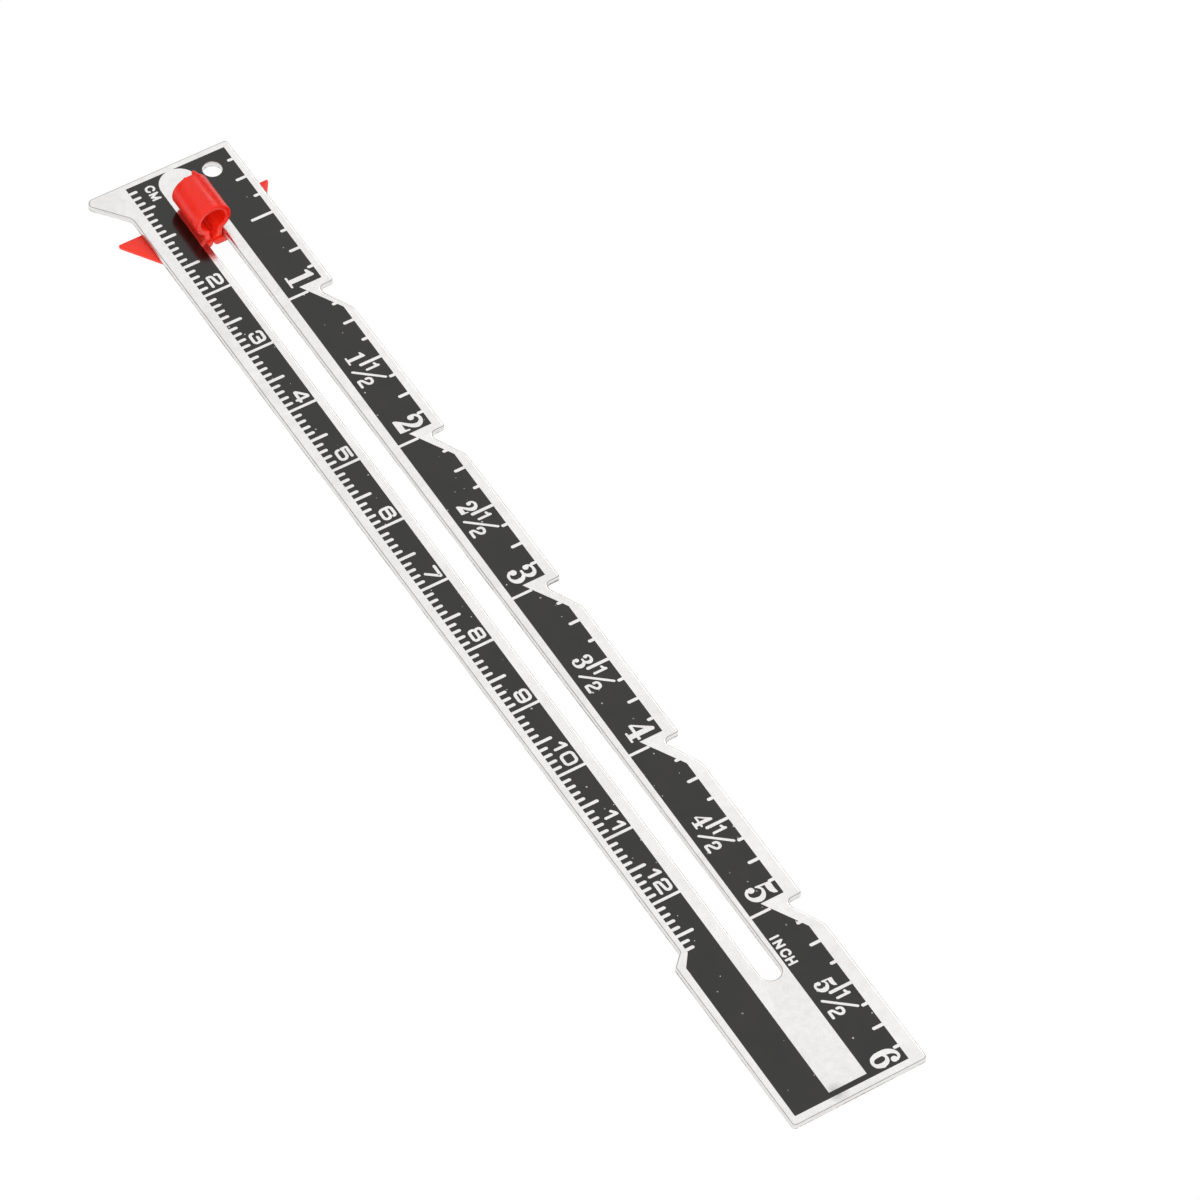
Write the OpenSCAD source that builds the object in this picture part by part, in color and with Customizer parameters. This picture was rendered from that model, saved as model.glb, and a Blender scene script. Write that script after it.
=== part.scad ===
// Sewing gauge: a flat notched aluminium blade with printed scales and a red slider in its slot.
// Outlines are drawn with x as the distance along the blade from the scales' zero at the back end,
// and y as the distance across it from the left edge of its body.

/* [Blade] */
// Length of the blade from end to end
blade_len = 152; // [135:1:320]
// Width of the blade's body
blade_w = 15.9; // [14:0.1:30]
// Thickness of the sheet
blade_t = 0.9; // [0.6:0.1:2]
// How far the back end stops short of the scales' zero
end_trim = 0.2; // [0:0.1:1]
// Radius on the blade's outer corners
corner_r = 0.5; // [0.1:0.1:0.8]

/* [Hook] */
// How far the hook's tip stands out past the left edge
hook_reach = 3.4; // [2:0.1:8]
// Length along the edge from the scales' zero to the hook's root
hook_root = 5.3; // [4:0.1:9]
// Radius of the hook's tip
hook_tip_r = 0.74; // [0.3:0.02:0.9]
// Radius of the inside curve at the hook's root
hook_root_r = 1.6; // [0.2:0.1:3]

/* [Base] */
// Where the left edge starts to step out, from the scales' zero
step_at = 126.75; // [110:0.25:128]
// Length of the sloping step
step_len = 1.5; // [0.5:0.1:4]
// How far the step stands out past the left edge
step_out = 1.56; // [0.5:0.02:4]

/* [Notches] */
// Distance from one notch to the next, one inch
inch = 25.4; // [20:0.1:30]
// Number of notches
notches = 5; // [1:1:5]
// Depth that the square face and the slope would reach without the root's curve
notch_depth = 2.46; // [1:0.02:4]
// Length of the slope that runs out of a notch
notch_run = 4.86; // [3:0.02:8]
// Radius of the root's curve
notch_root_r = 0.75; // [0.1:0.05:1]
// Radius where the slope runs out into the edge
notch_top_r = 2; // [0.5:0.5:6]
// Radius on each tooth's corner
tooth_r = 0.25; // [0.1:0.05:0.6]

/* [Slot and hole] */
// Width of the slot
slot_w = 2.63; // [2.2:0.01:4]
// How far the slot's centre line lies to the left of the blade's centre line
slot_shift = 0.775; // [0:0.025:1.5]
// Where the slot's round back end starts, from the scales' zero
slot_start = 5.2; // [4.6:0.1:5.4]
// Where the slot's round front end stops, from the scales' zero
slot_end = 135.2; // [60:0.1:136]
// Diameter of the hanging hole
hole_d = 2.4; // [1:0.1:3]
// Distance of the hole from the scales' zero
hole_at = 3.47; // [3:0.01:6]
// Distance of the hole from the blade's right edge
hole_in = 3.83; // [3:0.01:5]

/* [Slider] */
// Outer radius of the slider's tube
tube_r = 2.4; // [2:0.02:3]
// Wall of the tube
tube_wall = 0.75; // [0.5:0.01:1]
// Where the tube's back end stands, from the scales' zero
tube_at = 6.5; // [6.2:0.1:60]
// Length of the tube
tube_len = 5.75; // [5.5:0.05:20]
// Where the wings' straight back edge stands, behind which only the tube reaches
wing_setback = 0.85; // [0.2:0.05:1.5]
// How far the wings' front edge stands ahead of the tube's
wing_lead = 0.3; // [0:0.05:0.5]
// Reach of each wing from the slot's centre line
wing_reach = 10.2; // [9:0.1:20]
// Half of the width over which the wings' front edge runs straight across
wing_root = 6.8; // [4:0.05:8]
// Width of the blunt tip of each wing
wing_tip = 0.2; // [0.1:0.05:1]
// Radius on the wings' tips
wing_tip_r = 0.08; // [0.02:0.02:0.1]
// Radius where the wings' front edge turns
wing_root_r = 0.5; // [0.1:0.1:2]
// Thickness of the wings' outer half
wing_t = 0.5; // [0.3:0.05:0.7]
// Thickness of the wings at their feet, beside the slit
foot_t = 0.95; // [0.7:0.05:1.5]
// Reach of the full thickness from the slot's centre line
foot_reach = 2.2; // [2:0.1:4]
// Reach at which the underside has thinned to the outer thickness
thin_reach = 6; // [5:0.1:8]
// Width of the slit that splits the legs
slit_w = 0.95; // [0.5:0.05:1.2]
// Radius that leads from the tube's bore into the slit
throat_r = 0.6; // [0.2:0.05:0.8]
// Gap between the two rounded toes that close the slit's lower end
toe_gap = 0.1; // [0.05:0.01:0.3]
// Radius of the toes
toe_r = 0.75; // [0.65:0.01:0.85]
// How far the gap between the toes lies to the left of the slot's centre line
toe_shift = 0.15; // [0:0.01:0.2]
// Radius of the moulding stub on the tube's back end
stub_r = 0.3; // [0.1:0.02:0.36]
// How far the stub stands out
stub_len = 0.9; // [0.4:0.05:1]
// Angle of the stub from the tube's top, towards the inch side
stub_angle = 26; // [-60:1:60]

/* [Print] */
// Thickness of the ink film
ink_t = 0.03; // [0.01:0.01:0.1]
// Angle by which the print is turned on the blade, in degrees
print_turn = 0.4; // [0:0.1:0.5]
// Distance of the print's left edge from the blade's left edge, at the scales' zero
print_in = 1.55; // [1.4:0.05:1.7]
// Where the printed panels start, from the scales' zero
print_start = 1.07; // [0.8:0.01:1.5]
// Bare margin left in front of the print
print_margin = 1; // [0.5:0.1:3]
// Width of the centimetre panel
cm_w = 3.53; // [3:0.01:5]
// How far the bare band's round end breaks through the print's back edge
band_out = 0.06; // [0:0.01:0.5]
// Width of the inch panel
in_w = 5.01; // [4:0.01:5.1]
// Bare margin between the inch panel and the blade's right edge, at the scales' zero
in_margin = 0.9; // [0.8:0.05:1.2]
// Width of the strip that closes the bare band at the front
strip_w = 0.65; // [0.3:0.05:2]
// Extra width of the centimetre panel on the base
flap_w = 1.26; // [0.5:0.02:1.4]
// How far the panel starts to widen ahead of the blade's step
flap_lag = 0.58; // [0.2:0.02:1]
// Length over which the panel widens
flap_run = 1.67; // [0.5:0.01:4]
// Width of the bare lines that mark the scales
line_w = 0.4; // [0.2:0.02:0.5]
// Length of the millimetre ticks
mm_tick = 1.07; // [0.5:0.01:1.5]
// Length of the ticks at 5 mm and 10 mm, beside the hidden stretch of the scale
low_tick = 1.85; // [1:0.05:2.5]
// Length of the other half-centimetre ticks
half_cm_tick = 2.23; // [1.5:0.01:3]
// Millimetre whose full line divides the centimetre scale from the base's panel
base_from = 120; // [20:10:120]
// Last millimetre that is marked
last_mm = 127; // [20:1:127]
// Length of the half-inch ticks
half_tick = 2.92; // [2:0.02:4]
// Length of the quarter-inch ticks
quarter_tick = 1.37; // [1:0.01:2]
// Length of the eighth-inch ticks
eighth_tick = 0.73; // [0.4:0.01:1]
// Length of the eighth-inch tick that falls on each notch's slope
slope_tick = 1.05; // [0.8:0.01:1.5]
// Distance of the bare notch surround's upright edge behind each inch
vee_back = 1.1; // [0.8:0.05:2]
// How deep the bare notch surround reaches into the inch panel
vee_depth = 3.07; // [2:0.01:4]
// Rise of the bare notch surround's slope for each mm along it
vee_slope = 0.59; // [0.4:0.01:1]

/* [Clearances] */
// Gap between the slider's legs and each wall of the slot
side_gap = 0.1; // [0.03:0.01:0.2]
// Gap between the wings and the blade's underside
under_gap = 0.1; // [0.03:0.01:0.3]
// Height of the tube's lowest line over the blade's top face
over_gap = 0.03; // [0.01:0.01:0.3]
// Gap between the legs and the slot's ends at either end of the travel
stop_gap = 0.1; // [0.05:0.01:0.3]

/* [Hidden] */
$fn = 48;
eps = 0.01;

// The blade in its own outline's frame
blade_front = end_trim + blade_len;
slot_mid = blade_w / 2 - slot_shift;
hole_mid = blade_w - hole_in;
hook_line = atan2(hook_reach - hook_tip_r, hook_root - end_trim - hook_tip_r)
    + asin(hook_tip_r / norm([hook_root - end_trim - hook_tip_r, hook_reach - hook_tip_r]));
hook_corner = (hook_root - end_trim) * tan(hook_line);

// Heights over the surface that the feet stand on
under_z = foot_t + under_gap;
top_z = under_z + blade_t;
tube_z = top_z + over_gap + tube_r;

// The slider
tube_front = tube_at + tube_len;
wing_back = tube_at + wing_setback;
wing_front = tube_front + wing_lead;
bore_r = tube_r - tube_wall;
neck_half = slot_w / 2 - side_gap;
slit_half = slit_w / 2;

// How far the legs' square corners stay from the slot's round ends, and the travel either way
end_depth = slot_w / 2 - sqrt(pow(slot_w / 2, 2) - pow(neck_half, 2));
travel_back = wing_back - slot_start - end_depth - stop_gap;
travel_front = slot_end - end_depth - stop_gap - wing_front;
echo(travel_back = travel_back, travel_front = travel_front);

// The print, in its own frame
band_w = blade_w - print_in - cm_w - in_w - in_margin;
band_mid = cm_w + band_w / 2;
in_near = cm_w + band_w;
print_w = in_near + in_w;
print_end = blade_front - print_margin;
flap_from = step_at + flap_lag;

// The middle of the whole gauge, which becomes the origin
mid_x = end_trim + blade_len / 2;
mid_y = (slot_mid + wing_reach - hook_reach) / 2;
echo(hole_x = hole_mid - mid_y, hole_y = mid_x - hole_at, hole_z = under_z + blade_t / 2);
echo(wing_x = slot_mid - mid_y, wing_y = mid_x - (wing_back + wing_front) / 2);

// Points of the arc that rounds the corner at p between its neighbours a and b, swept the shorter way round
function corner(a, p, b, r) =
    let (to_a = (a - p) / norm(a - p),
         to_b = (b - p) / norm(b - p),
         half = acos(to_a * to_b) / 2,
         middle = p + (to_a + to_b) / norm(to_a + to_b) * r / sin(half),
         first = p + to_a * r / tan(half) - middle,
         last = p + to_b * r / tan(half) - middle,
         start = atan2(first.y, first.x),
         sweep = (atan2(last.y, last.x) - start + 540) % 360 - 180,
         steps = max(2, ceil(abs(sweep) / 15)))
    [for (i = [0:steps]) middle + r * [cos(start + sweep * i / steps), sin(start + sweep * i / steps)]];

// Outline through the points [x, y, radius], each corner rounded by its radius
function rounded(pts) =
    let (n = len(pts), at = [for (p = pts) [p.x, p.y]])
    [for (i = [0:n - 1]) each corner(at[(i + n - 1) % n], at[i], at[(i + 1) % n], pts[i].z)];

// One notch's corners, met from the front end backwards
function notch(x) = [
    [x + notch_run, blade_w, notch_top_r],
    [x, blade_w - notch_depth, notch_root_r],
    [x, blade_w, tooth_r]];

// Turns an outline's frame into the gauge's own, with the back end towards +Y and the left edge towards -X
module on_gauge(z) {
    translate([-mid_y, mid_x, z]) rotate([0, 0, -90]) children();
}

module blade_outline() {
    polygon(rounded([
        [end_trim, blade_w, corner_r],
        [end_trim, -hook_corner, hook_tip_r],
        [hook_root, 0, hook_root_r],
        [step_at, 0, corner_r],
        [step_at + step_len, -step_out, corner_r],
        [blade_front, -step_out, corner_r],
        [blade_front, blade_w, corner_r],
        each [for (i = [notches:-1:1]) each notch(i * inch)]]));
}

module slot_outline() {
    for (x = [slot_start + slot_w / 2, slot_end - slot_w / 2])
        translate([x, slot_mid]) circle(d = slot_w);
    translate([slot_start + slot_w / 2, slot_mid - slot_w / 2]) square([slot_end - slot_start - slot_w, slot_w]);
}

module blade() {
    color("#E6E4E2")
    on_gauge(under_z)
    difference() {
        linear_extrude(blade_t) blade_outline();
        translate([0, 0, -eps]) linear_extrude(blade_t + 2 * eps) slot_outline();
        translate([hole_at, hole_mid, -eps]) cylinder(d = hole_d, h = blade_t + 2 * eps);
    }
}

// Both wings in one outline, centred on the slot's centre line
module wings_outline() {
    polygon(rounded([
        [wing_back, -wing_reach, wing_tip_r],
        [wing_back + wing_tip, -wing_reach, wing_tip_r],
        [wing_front, -wing_root, wing_root_r],
        [wing_front, wing_root, wing_root_r],
        [wing_back + wing_tip, wing_reach, wing_tip_r],
        [wing_back, wing_reach, wing_tip_r]]));
}

// Stands a profile, drawn with x across the slot and y as height, along the slot from one place to another
module along_slot(from, to) {
    translate([from, 0, 0]) rotate([90, 0, 90]) linear_extrude(to - from) children();
}

// The tube's bore, the throat that leads out of it and the slit, which the toes narrow at its foot
module keyhole() {
    throat_x = slit_half + throat_r;
    toe_x = toe_gap / 2 + toe_r;
    throat_z = tube_z - sqrt(pow(bore_r + throat_r, 2) - pow(throat_x, 2));
    mouth_z = throat_z + throat_r * (tube_z - throat_z) / (bore_r + throat_r);
    mouth_half = throat_x * bore_r / (bore_r + throat_r);
    translate([0, tube_z]) circle(bore_r);
    difference() {
        translate([-mouth_half, throat_z]) square([2 * mouth_half, mouth_z - throat_z + eps]);
        for (side = [-1, 1])
            translate([side * throat_x, throat_z]) circle(throat_r);
    }
    difference() {
        union() {
            translate([-slit_half, -eps]) square([slit_w, throat_z + 2 * eps]);
            translate([-toe_x - toe_shift, -eps]) square([2 * toe_x, toe_r + eps]);
        }
        for (side = [-1, 1])
            translate([side * toe_x - toe_shift, toe_r]) circle(toe_r);
    }
}

// Both wings from the front, thick at the feet and thin towards the tips
module wings_profile() {
    polygon([
        [-wing_reach - eps, foot_t],
        [-wing_reach - eps, foot_t - wing_t],
        [-thin_reach, foot_t - wing_t],
        [-foot_reach, 0],
        [foot_reach, 0],
        [thin_reach, foot_t - wing_t],
        [wing_reach + eps, foot_t - wing_t],
        [wing_reach + eps, foot_t]]);
}

// Stub left by the mould, standing out of the tube's back end near the outside of its wall
module stub() {
    from_axis = tube_r - stub_r * 0.6;
    translate([tube_at, from_axis * sin(stub_angle), tube_z + from_axis * cos(stub_angle)])
        rotate([0, -90, 0]) {
            translate([0, 0, -tube_wall]) cylinder(r = stub_r, h = tube_wall + stub_len - stub_r);
            translate([0, 0, stub_len - stub_r]) sphere(stub_r);
        }
}

module slider() {
    color("#E8301F")
    on_gauge(0)
    translate([0, slot_mid, 0])
    difference() {
        union() {
            along_slot(tube_at, tube_front) translate([0, tube_z]) circle(tube_r);
            along_slot(wing_back, tube_front) translate([-neck_half, 0]) square([2 * neck_half, tube_z]);
            stub();
            intersection() {
                linear_extrude(foot_t) wings_outline();
                along_slot(wing_back - eps, wing_front + eps) wings_profile();
            }
        }
        along_slot(tube_at - eps, wing_front + eps) keyhole();
    }
}

// Turns the print's frame into the outline's frame
module on_print() {
    translate([0, print_in]) rotate(-print_turn) children();
}

// Bare line from the panel's edge inwards along +y, with a round inner end
module tick(at, length) {
    translate([at - line_w / 2, -eps]) square([line_w, length - line_w / 2 + eps]);
    translate([at, length - line_w / 2]) circle(d = line_w, $fn = 16);
}

module cm_line(at) {
    translate([at - line_w / 2, -eps]) square([line_w, cm_w + 2 * eps]);
}

// Length of the tick at a millimetre that has no full line
function cm_tick(mm) =
    mm % 5 != 0 ? mm_tick
    : mm <= 10 ? low_tick
    : half_cm_tick;

module cm_marks() {
    for (mm = [2:last_mm])
        if (mm % 10 == 0 && mm > 10) cm_line(mm);
        else tick(mm, cm_tick(mm));
}

// Bare band between the panels, with its round back end
module bare_band() {
    back_mid = print_start + band_w / 2 - band_out;
    translate([back_mid, band_mid]) circle(d = band_w);
    translate([back_mid, cm_w]) square([print_end - strip_w - back_mid, band_w]);
}

// Length of the i-th eighth-inch tick
function inch_tick(i) =
    i % 4 == 0 ? half_tick
    : i % 2 == 0 ? quarter_tick
    : i % 8 == 1 && i > 8 && i < 8 * (notches + 1) ? slope_tick
    : eighth_tick;

// Bare surround of one notch and the full line at its inch
module vee(at) {
    run = vee_depth / vee_slope;
    polygon([
        [at - vee_back, print_w - vee_depth],
        [at - vee_back + run, print_w],
        [at - vee_back + run, print_w + eps],
        [at - vee_back, print_w + eps]]);
    translate([at - line_w / 2, in_near - eps]) square([line_w, print_w - in_near - vee_depth + vee_slope * vee_back]);
}

module inch_marks() {
    for (i = [1:notches]) vee(i * inch);
    for (i = [1:floor(8 * print_end / inch)])
        if (i % 8 != 0)
            translate([0, print_w]) mirror([0, 1]) tick(i * inch / 8, inch_tick(i));
}

// Part of the print, as a film on the blade's face, with the hole and every bare line and band left out
module film() {
    color("#3E3C3A")
    on_gauge(top_z)
    linear_extrude(ink_t)
    difference() {
        on_print()
        difference() {
            union() children();
            bare_band();
            cm_marks();
            inch_marks();
        }
        translate([hole_at, hole_mid]) circle(d = hole_d);
    }
}

// Stretch of a panel between two places along the blade, from one edge across to the other
module stretch(from, to, near, far) {
    translate([from, near]) square([to - from, far - near]);
}

// Wide end of the centimetre panel, whose outer edge follows the blade's step
module flap() {
    polygon([
        [flap_from, 0],
        [flap_from + flap_run, -flap_w],
        [print_end, -flap_w],
        [print_end, eps],
        [flap_from, eps]]);
}

module cm_print() {
    film() stretch(print_start, base_from, 0, band_mid);
}

module inch_print() {
    film() stretch(print_start, notches * inch, band_mid, print_w);
}

module base_print() {
    film() {
        stretch(base_from, print_end, 0, cm_w);
        flap();
        stretch(print_end - strip_w, print_end, cm_w - eps, in_near + eps);
        stretch(notches * inch, print_end, in_near, print_w);
    }
}

blade();
slider();
cm_print();
inch_print();
base_print();
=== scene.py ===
"""A sewing gauge: a stamped aluminium blade with two printed scales, and a red plastic slider that clips into its slot.

The camera looks down on it from the left of its wide end. Every length below is in millimetres,
in one of two drawing frames, and place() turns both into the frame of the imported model:
  outline frame: x runs along the blade from the scales' zero, y across it from the centimetre edge
  print frame:   the same, turned by the small angle at which the scales were printed
"""
import math

import bmesh
import bpy
import numpy as np
from mathutils import Matrix, Vector
from mathutils.geometry import delaunay_2d_cdt


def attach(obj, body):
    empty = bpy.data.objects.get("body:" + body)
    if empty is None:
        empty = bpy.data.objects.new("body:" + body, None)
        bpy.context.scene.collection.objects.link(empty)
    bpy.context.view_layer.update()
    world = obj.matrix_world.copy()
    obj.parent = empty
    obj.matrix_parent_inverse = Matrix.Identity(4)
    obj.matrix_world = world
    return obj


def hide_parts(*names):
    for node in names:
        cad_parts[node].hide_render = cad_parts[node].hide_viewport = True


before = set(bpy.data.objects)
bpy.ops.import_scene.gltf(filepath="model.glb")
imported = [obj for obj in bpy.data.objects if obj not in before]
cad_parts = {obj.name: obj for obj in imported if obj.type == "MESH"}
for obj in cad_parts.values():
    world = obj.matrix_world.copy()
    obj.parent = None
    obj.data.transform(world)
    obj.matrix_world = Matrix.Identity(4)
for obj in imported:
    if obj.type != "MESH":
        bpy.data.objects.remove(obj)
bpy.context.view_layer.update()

MM = 0.001

# The blade, along x and across y
BLADE_BACK, BLADE_FRONT, BLADE_W = 0.2, 152.2, 15.9
UNDER_Z, TOP_Z = 1.05, 1.95
CORNER_R = 0.5
HOOK_REACH, HOOK_ROOT, HOOK_TIP_R, HOOK_ROOT_R = 3.4, 5.3, 0.74, 1.6
STEP_AT, STEP_LEN, STEP_OUT = 126.75, 1.5, 1.56
INCH, NOTCHES = 25.4, 5
NOTCH_DEPTH, NOTCH_RUN, NOTCH_ROOT_R, NOTCH_TOP_R, TOOTH_R = 2.46, 4.86, 0.75, 2, 0.25
SLOT_MID, SLOT_W, SLOT_START, SLOT_END = 7.175, 2.63, 5.2, 135.2
HOLE_AT, HOLE_MID, HOLE_R = 3.47, 12.07, 1.2
OUTLINE_ROLL, SLOT_ROLL, HOLE_ROLL, UNDER_ROLL = 0.24, 0.2, 0.18, 0.05  # the last is the underside's
MID_X, MID_Y = 76.2, 6.9875  # the point over the model's origin

# The print, in its own frame
INK_T = 0.03
PRINT_TURN, PRINT_IN = math.radians(0.4), 1.55
PRINT_START, PRINT_END = 1.07, 151.2
CM_W, BAND_W, IN_W = 3.53, 4.91, 5.01
IN_NEAR, PRINT_W = CM_W + BAND_W, CM_W + BAND_W + IN_W
MID_BAND, BAND_END = CM_W + BAND_W / 2, PRINT_END - 0.65
CM_PANEL_END, IN_PANEL_END, BACK_CORNERS_END = 120, NOTCHES * INCH, 5
BASE_STEP_AT, BASE_STEP_END, BASE_OUT = 127.33, 129.0, 1.26
OVER, SHRINK = 0.01, 0.02  # what outlines overlap by where they meet, and what the ink shrinks by round bare marks
BAND_OUT = 0.06  # how far the band's round end stands past the panels' back
LINE_W = 0.4
MM_TICK, FIVE_TICK, FIRST_FIVE_TICK = 1.07, 2.23, 1.85
HALF_TICK, QUARTER_TICK, EIGHTH_TICK, FIRST_EIGHTH_TICK = 2.92, 1.37, 0.73, 1.05
SURROUND_DEPTH, SURROUND_BEFORE, SURROUND_SLOPE = 3.07, 1.1, 0.59
PLAIN_STROKE, FRACTION_STROKE, UNIT_STROKE = 0.39, 0.36, 0.3
CM_NUMBER_BEFORE, CM_NUMBER_BASE = 0.6, 1.45
HALF_NUMBER_BEFORE, HALF_NUMBER_BASE, HALF_NUMBER_SCALE, SMALL_BOLDER = 1.15, 9.55, 0.69, 1.2
FLAT_R = 0.035  # corners of the inch figures' flat parts

# The slider, with heights from the surface that its feet stand on
TUBE_AT, TUBE_FRONT, TUBE_R, BORE_R, TUBE_Z = 6.5, 12.25, 2.4, 1.65, 4.38
BACK_RIM_R, FRONT_RIM_R, FOOT_BACK_R, FOOT_FRONT_R = 0.1, 0.16, 0.05, 0.09
WING_BACK, WING_FRONT, WING_REACH, WING_ROOT = 7.35, 12.55, 10.2, 6.8
NECK_HALF, SLIT_HALF, THROAT_R = 1.215, 0.475, 0.6
FOOT_T, WING_T, FOOT_REACH, THIN_REACH = 0.95, 0.5, 2.2, 6.0
WING_R, WING_TIP = 0.11, 0.2
FOOT_SUNK, FOOT_SHORT = 0.4, 0.005
TOE_R, TOE_SHIFT, TOE_GAP = 0.75, 0.15, 0.1
# The marks of the mould on the tube's back rim: turn from the top in degrees, depth of the foot below the tube's
# surface, distance ahead of the back end, direction, and the (height, radius) pairs of the peg
PEGS = (
    (26, 0.4, 0.3, (0, 1, 0.2), [(0, 0.54), (0.22, 0.5), (0.4, 0.42), (0.58, 0.34), (0.76, 0.29), (0.9, 0.23),
                                 (0.98, 0.16), (1.02, 0.06)]),
    (-16, 0.34, 0.36, (0, 1, 0.35), [(-0.1, 0.36), (0.2, 0.34), (0.38, 0.28), (0.5, 0.18), (0.54, 0.08)]),
)


# ---------------------------------------------------------------- drawing

def arc(cx, cy, r, start, end, steps=None):
    """Points cx + r cos t, cy + r sin t, for t from start to end in degrees."""
    steps = steps or max(3, int(abs(end - start) / 10) + 1)
    t = np.radians(np.linspace(start, end, steps + 1))
    return np.stack([cx + r * np.cos(t), cy + r * np.sin(t)], 1)


def rounded(points, closed=True, step=9):
    """Outline through (x, y, radius) points: each corner becomes the arc of its radius that touches both sides.
    The arc's middle lies on the corner's bisector, radius / sin(half the corner's angle) away from it."""
    pts = [np.array(p[:2], float) for p in points]
    out = []
    for i, p in enumerate(pts):
        r = points[i][2]
        if r == 0 or (not closed and i in (0, len(pts) - 1)):
            out.append(p[None])
            continue
        a, b = pts[i - 1] - p, pts[(i + 1) % len(pts)] - p
        a, b = a / np.linalg.norm(a), b / np.linalg.norm(b)
        half = math.acos(np.clip(a @ b, -1, 1)) / 2
        middle = p + (a + b) / np.linalg.norm(a + b) * r / math.sin(half)
        first, last = p + a * r / math.tan(half) - middle, p + b * r / math.tan(half) - middle
        start = math.degrees(math.atan2(first[1], first[0]))
        sweep = (math.degrees(math.atan2(last[1], last[0])) - start + 540) % 360 - 180
        out.append(arc(middle[0], middle[1], r, start, start + sweep, max(2, math.ceil(abs(sweep) / step))))
    return np.concatenate(out)


def smooth_line(points):
    """Curve through rows of numbers, five steps to each: the cubic that leaves each point along the line between its
    neighbours."""
    p = np.array(points, float)
    p = np.concatenate([2 * p[:1] - p[1:2], p, 2 * p[-1:] - p[-2:-1]])
    t = np.linspace(0, 1, 5, endpoint=False)[:, None]
    rows = [0.5 * (2 * b + (c - a) * t + (2 * a - 5 * b + 4 * c - d) * t ** 2 + (3 * b - a - 3 * c + d) * t ** 3)
            for a, b, c, d in zip(p, p[1:], p[2:], p[3:])]
    return np.concatenate(rows + [p[-2:-1]])


def brushed(line, width):
    """Outline of a stroke along a line: points half a width to either side, with a half circle at both ends."""
    line = np.asarray(line, float)
    half = np.broadcast_to(np.asarray(width, float) / 2, len(line))[:, None]
    ahead = np.gradient(line, axis=0)
    ahead /= np.linalg.norm(ahead, axis=1)[:, None]
    side = np.stack([-ahead[:, 1], ahead[:, 0]], 1)
    t = np.radians(np.linspace(0, 180, 9))[1:-1, None]
    nose = line[-1] + half[-1] * (np.cos(t) * -side[-1] + np.sin(t) * ahead[-1])
    tail = line[0] + half[0] * (np.cos(t) * side[0] - np.sin(t) * ahead[0])
    return np.concatenate([line - half * side, nose, (line + half * side)[::-1], tail])


def stroke(points, width):
    """Outlines of an even stroke through (x, y, radius) corners, one for each straight run and one for each bend."""
    points = [tuple(p) + (0,) * (3 - len(p)) for p in points]
    line = rounded(points, closed=False, step=15)
    keep = np.r_[True, np.linalg.norm(np.diff(line, axis=0), axis=1) > 1e-4]
    line = line[keep]
    turn = np.abs(np.diff(np.unwrap(np.arctan2(*np.diff(line, axis=0).T[::-1]))))
    # a new outline starts at every sharp corner and after each half turn, so that none crosses itself
    cuts, turned = [0], 0.0
    for i, t in enumerate(turn):
        turned += t
        if t > 0.6 or turned > 2.6:
            cuts.append(i + 1)
            turned = 0.0
    return [brushed(line[a:b + 1], width) for a, b in zip(cuts, cuts[1:] + [len(line) - 1])]


def box(x0, y0, x1, y1):
    """Rectangle between two corners."""
    return np.array([(x0, y0), (x1, y0), (x1, y1), (x0, y1)], float)


def place(outline, z):
    """Outline frame to the model's: the back end lies towards +Y and the centimetre edge towards -X."""
    outline = np.asarray(outline, float)
    z = np.broadcast_to(np.asarray(z, float), len(outline))
    return np.stack([outline[:, 1] - MID_Y, MID_X - outline[:, 0], z], 1) * MM


def from_print(p):
    """Print frame to outline frame: a turn by the print's small angle, then its distance in from the edge."""
    c, s = math.cos(PRINT_TURN), math.sin(PRINT_TURN)
    return np.stack([c * p[:, 0] + s * p[:, 1], PRINT_IN - s * p[:, 0] + c * p[:, 1]], 1)


def to_print(p):
    """Outline frame to print frame, the other way round."""
    c, s = math.cos(PRINT_TURN), math.sin(PRINT_TURN)
    x, y = p[:, 0], p[:, 1] - PRINT_IN
    return np.stack([c * x - s * y, s * x + c * y], 1)


def turned_left(loop, ccw=True):
    """The loop in the wanted sense, by the sign of its area."""
    x, y = loop.T
    area = (x * np.roll(y, -1) - np.roll(x, -1) * y).sum()
    return loop if (area > 0) == ccw else loop[::-1]


def cover(shapes, holes):
    """Triangles that lie in at least one of the shapes and in none of the holes, as (points, triangles)."""
    loops = [turned_left(l) for l in list(shapes) + list(holes)]
    first = np.cumsum([0] + [len(l) for l in loops])
    points = [Vector(p) for p in np.concatenate(loops)]
    faces = [list(range(a, b)) for a, b in zip(first, first[1:])]
    co, _, tris, _, _, owners = delaunay_2d_cdt(points, [], faces, 0, 1e-6, True)
    n = len(shapes)
    kept = [t for t, own in zip(tris, owners) if own and min(own) < n and max(own) < n]
    co, kept = np.array([tuple(p) for p in co]), np.array(kept)
    a, b, c = co[kept[:, 0]], co[kept[:, 1]], co[kept[:, 2]]
    area = (b - a)[:, 0] * (c - a)[:, 1] - (b - a)[:, 1] * (c - a)[:, 0]
    kept = kept[np.abs(area) > 1e-9]
    used, kept = np.unique(kept, return_inverse=True)
    return co[used], kept.reshape(-1, 3)


# ---------------------------------------------------------------- surfaces

def facing(tris, as_they_are):
    """Triangles as lists, turned over unless they stay as they are."""
    return (tris if as_they_are else tris[:, ::-1]).tolist()


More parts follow.
